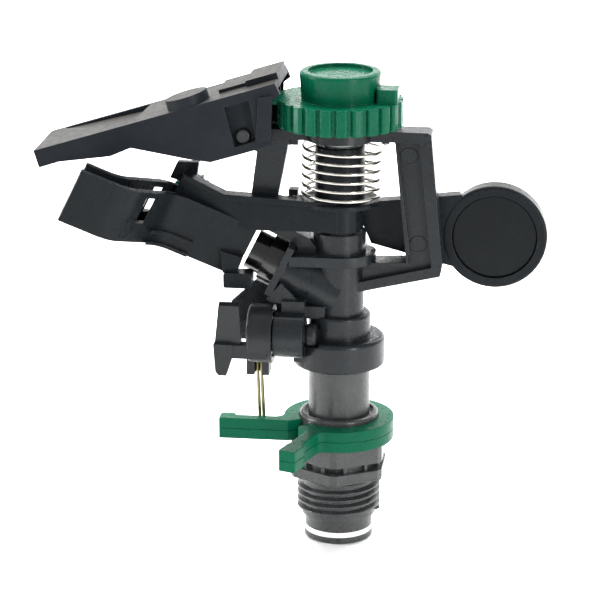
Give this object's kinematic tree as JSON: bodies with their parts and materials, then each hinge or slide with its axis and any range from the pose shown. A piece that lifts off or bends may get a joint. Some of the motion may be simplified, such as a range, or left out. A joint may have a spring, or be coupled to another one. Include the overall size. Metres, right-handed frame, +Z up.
{
  "type": "impact sprinkler head",
  "caption": "Plastic impact sprinkler head with swinging hammer arm, trip lever, friction collars, deflector flap and distance knob.",
  "frame": {"origin": "on the swivel axis, at the shoulder under the hexagon where the riser stops", "axes": "+Z up along the swivel axis, the jet leaves towards -X, the arm swings out towards -Y"},
  "size_m": [0.1248, 0.0447, 0.1201],
  "materials": {
    "nipple_plastic": "moulded, satin",
    "body_plastic": "moulded, satin",
    "arm_plastic": "moulded, satin",
    "flap_plastic": "moulded, satin",
    "lever_plastic": "moulded, satin",
    "cover_plastic": "moulded, satin",
    "pin_plastic": "moulded, satin",
    "nozzle_black": "moulded, glossy",
    "collar_green": "moulded, satin",
    "knob_green": "moulded, satin",
    "white_nylon": "moulded, satin",
    "black_rubber": "moulded",
    "stainless_wire": "drawn wire",
    "stainless_pin": "turned",
    "brass_wire": "drawn spring wire, dulled"
  },
  "bodies": {
    "base": {"threaded_nipple": "nipple_plastic", "seal_washer": "black_rubber", "spring_washer": "white_nylon", "bearing_spring": "stainless_wire"},
    "lower_collar": {"lower_friction_collar": "collar_green"},
    "upper_collar": {"upper_friction_collar": "collar_green"},
    "body": {"sprinkler_body": "body_plastic", "swivel_tube": "nipple_plastic", "wear_washer": "white_nylon", "nozzle": "nozzle_black", "nozzle_seal": "black_rubber", "fulcrum_pin": "stainless_pin", "arm_spring": "stainless_wire", "snap_spring": "stainless_wire", "flap_hinge_pin": "pin_plastic"},
    "arm": {"hammer_arm": "arm_plastic", "lower_arm_bush": "white_nylon", "upper_arm_bush": "white_nylon", "counterweight_slug": "stainless_pin", "counterweight_cover": "cover_plastic"},
    "breaker": {"jet_breaker": "knob_green"},
    "knob": {"distance_knob": "knob_green"},
    "flap": {"deflector_flap": "flap_plastic"},
    "trip": {"trip_lever": "lever_plastic", "trip_wire": "brass_wire"}
  },
  "joints": [
    {"name": "body_spin", "type": "hinge", "parent": "base", "child": "body", "pos_m": [0, 0, 0], "axis": [0, 0, 1], "range_deg": [-280, 0]},
    {"name": "lower_collar_turn", "type": "hinge", "parent": "base", "child": "lower_collar", "pos_m": [0, 0, 0.0117], "axis": [0, 0, 1], "continuous": true},
    {"name": "upper_collar_turn", "type": "hinge", "parent": "base", "child": "upper_collar", "pos_m": [0, 0, 0.0144], "axis": [0, 0, 1], "continuous": true},
    {"name": "arm_swing", "type": "hinge", "parent": "body", "child": "arm", "pos_m": [0, 0, 0.07], "axis": [0, 0, 1], "range_deg": [0, 100], "stiffness_Nm_per_rad": 0.004, "springref_deg": -45.84, "deforming": ["arm_spring"]},
    {"name": "jet_breaker_turn", "type": "hinge", "parent": "arm", "child": "breaker", "pos_m": [-0.0374, 0, 0.0709], "axis": [0, 1, 0], "range_deg": [0, 90]},
    {"name": "knob_turn", "type": "hinge", "parent": "body", "child": "knob", "pos_m": [0, 0, 0.09], "axis": [0, 0, 1], "range_deg": [0, 120]},
    {"name": "flap_tilt", "type": "hinge", "parent": "body", "child": "flap", "pos_m": [-0.0226, 0, 0.088], "axis": [0, 1, 0], "range_deg": [0, 10]},
    {"name": "trip_flip", "type": "hinge", "parent": "body", "child": "trip", "pos_m": [-0.012, -0.0085, 0.0382], "axis": [1, 0, 0], "range_deg": [-31, 0], "deforming": ["trip_wire", "snap_spring"]}
  ],
  "couplings": [
    {"joint": "flap_tilt", "follows": "knob_turn", "ratio": 0.08333}
  ]
}
